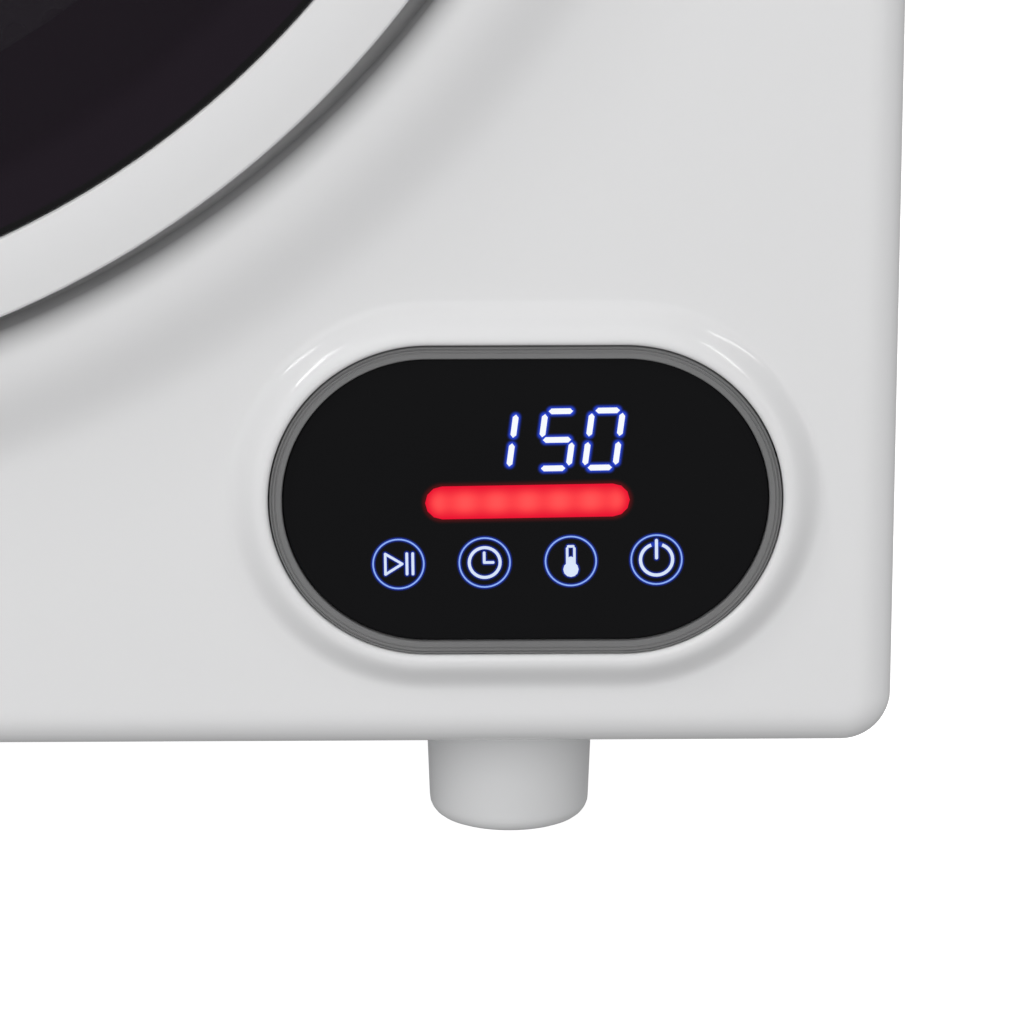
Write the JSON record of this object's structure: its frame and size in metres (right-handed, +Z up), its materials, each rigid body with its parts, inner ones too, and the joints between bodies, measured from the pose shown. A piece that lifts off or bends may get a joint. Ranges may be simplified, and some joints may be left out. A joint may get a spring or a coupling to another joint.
{
  "type": "clothes dryer",
  "caption": "Compact vented front-load clothes dryer: white cabinet with round smoked-window door, touch panel, stainless drum, belt drive, fan and levelling feet.",
  "frame": {"origin": "on the floor, under the middle of the overall box", "axes": "+Z up, +X to the right of someone facing the door, +Y to the back; the door faces -Y"},
  "size_m": [0.6, 0.452, 0.69],
  "materials": {
    "white_panel": "gloss moulded white",
    "white_steel": "semi-gloss white enamel",
    "grey_trim": "satin grey",
    "black_glass": "polished black back-painted",
    "display": "lit segments behind black glass",
    "board": "solder mask",
    "black_plastic": "fine texture",
    "galvanised": "zinc spangle",
    "stainless": "brushed and dimpled",
    "steel": "zinc plated",
    "smoked_glass": "smoked, polished",
    "clear_glass": "clear",
    "grey_plastic": "satin",
    "lifter_plastic": "satin",
    "rubber": "matte",
    "felt": "pressed wool",
    "filter_mesh": "woven nylon",
    "bronze": "sintered",
    "motor_paint": "satin",
    "ceramic": "fired",
    "foot_plastic": "moulded light grey"
  },
  "bodies": {
    "cabinet": {"base_pan": "galvanised", "bearing_bush": "bronze", "bearing_housing": "galvanised", "blower_housing": "black_plastic", "cabinet_wrap": "white_steel", "control_bezel": "grey_trim", "control_board": "board", "control_housing": "black_plastic", "digit_display": "display", "door_switch_body": "black_plastic", "drive_belt": "rubber", "drive_brackets": "galvanised", "exhaust_collar": "galvanised", "felt_seals": "felt", "foot_nuts": "galvanised", "front_bulkhead": "galvanised", "front_panel": "white_panel", "heater_duct": "galvanised", "hinge_bracket": "steel", "hinge_pin": "steel", "latch_catch": "black_plastic", "light_bar": "display", "motor_case": "motor_paint", "power_inlet": "black_plastic", "ptc_heater": "ceramic", "rear_duct": "galvanised", "rear_grille": "black_plastic", "rear_panel": "white_steel", "rear_screws": "steel", "roller_axles": "steel", "touch_glass": "black_glass"},
    "door": {"door_ring": "white_panel", "door_window": "smoked_glass", "door_liner": "grey_plastic", "door_inner_window": "clear_glass", "door_gasket": "rubber", "hinge_leaf": "steel", "latch_strike": "grey_plastic"},
    "drum": {"drum_shell": "stainless", "drum_front_rim": "stainless", "drum_back": "galvanised", "lifter_1": "lifter_plastic", "lifter_2": "lifter_plastic", "lifter_3": "lifter_plastic", "drum_shaft": "steel"},
    "lint_filter": {"lint_filter_frame": "grey_plastic", "lint_filter_mesh": "filter_mesh"},
    "motor_rotor": {"rotor_shaft": "steel", "motor_pulley": "steel", "blower_impeller": "black_plastic"},
    "roller_left": {"drum_roller_left": "rubber"},
    "roller_right": {"drum_roller_right": "rubber"},
    "idler_lever": {"idler_arm": "steel"},
    "idler_wheel": {"idler_pulley": "rubber"},
    "latch_bolt": {"latch_plunger": "grey_plastic"},
    "switch_pin": {"door_switch_plunger": "grey_plastic"},
    "levelling_foot_front_left": {"foot_front_left": "foot_plastic"},
    "levelling_foot_front_right": {"foot_front_right": "foot_plastic"},
    "levelling_foot_rear_left": {"foot_rear_left": "foot_plastic"},
    "levelling_foot_rear_right": {"foot_rear_right": "foot_plastic"}
  },
  "joints": [
    {"name": "door_hinge", "type": "hinge", "parent": "cabinet", "child": "door", "pos_m": [-0.2375, -0.218, 0.354], "axis": [0, 0, -1], "range_deg": [0, 135]},
    {"name": "drum_spin", "type": "hinge", "parent": "cabinet", "child": "drum", "pos_m": [0, 0, 0.354], "axis": [0, 1, 0], "continuous": true},
    {"name": "lint_filter_pull", "type": "slide", "parent": "drum", "child": "lint_filter", "axis": [0, -1, 0], "range_m": [0, 0.12]},
    {"name": "rotor_spin", "type": "hinge", "parent": "cabinet", "child": "motor_rotor", "pos_m": [-0.228, 0, 0.103], "axis": [0, 1, 0], "continuous": true},
    {"name": "roller_left_spin", "type": "hinge", "parent": "cabinet", "child": "roller_left", "pos_m": [-0.165, 0, 0.11746], "axis": [0, 1, 0], "continuous": true},
    {"name": "roller_right_spin", "type": "hinge", "parent": "cabinet", "child": "roller_right", "pos_m": [0.165, 0, 0.11746], "axis": [0, 1, 0], "continuous": true},
    {"name": "idler_swing", "type": "hinge", "parent": "cabinet", "child": "idler_lever", "pos_m": [-0.06159, 0, 0.0487], "axis": [0, -1, 0], "range_deg": [0, 8], "stiffness_Nm_per_rad": 2, "springref_deg": -11.46},
    {"name": "idler_spin", "type": "hinge", "parent": "idler_lever", "child": "idler_wheel", "pos_m": [-0.11959, 0, 0.0723], "axis": [0, 1, 0], "continuous": true},
    {"name": "latch_bolt_slide", "type": "slide", "parent": "cabinet", "child": "latch_bolt", "axis": [-1, 0, 0], "range_m": [0, 0.005], "stiffness_N_per_m": 400, "springref_m": -0.003},
    {"name": "door_switch_travel", "type": "slide", "parent": "cabinet", "child": "switch_pin", "axis": [0, 1, 0], "range_m": [0, 0.003], "stiffness_N_per_m": 200, "springref_m": -0.003},
    {"name": "foot_front_left_adjust", "type": "slide", "parent": "cabinet", "child": "levelling_foot_front_left", "axis": [0, 0, -1], "range_m": [0, 0.01]},
    {"name": "foot_front_right_adjust", "type": "slide", "parent": "cabinet", "child": "levelling_foot_front_right", "axis": [0, 0, -1], "range_m": [0, 0.01]},
    {"name": "foot_rear_left_adjust", "type": "slide", "parent": "cabinet", "child": "levelling_foot_rear_left", "axis": [0, 0, -1], "range_m": [0, 0.01]},
    {"name": "foot_rear_right_adjust", "type": "slide", "parent": "cabinet", "child": "levelling_foot_rear_right", "axis": [0, 0, -1], "range_m": [0, 0.01]}
  ],
  "couplings": [
    {"joint": "rotor_spin", "follows": "drum_spin", "ratio": 24.762},
    {"joint": "roller_left_spin", "follows": "drum_spin", "ratio": -13.42},
    {"joint": "roller_right_spin", "follows": "drum_spin", "ratio": -13.42},
    {"joint": "idler_spin", "follows": "drum_spin", "ratio": -19.386}
  ]
}
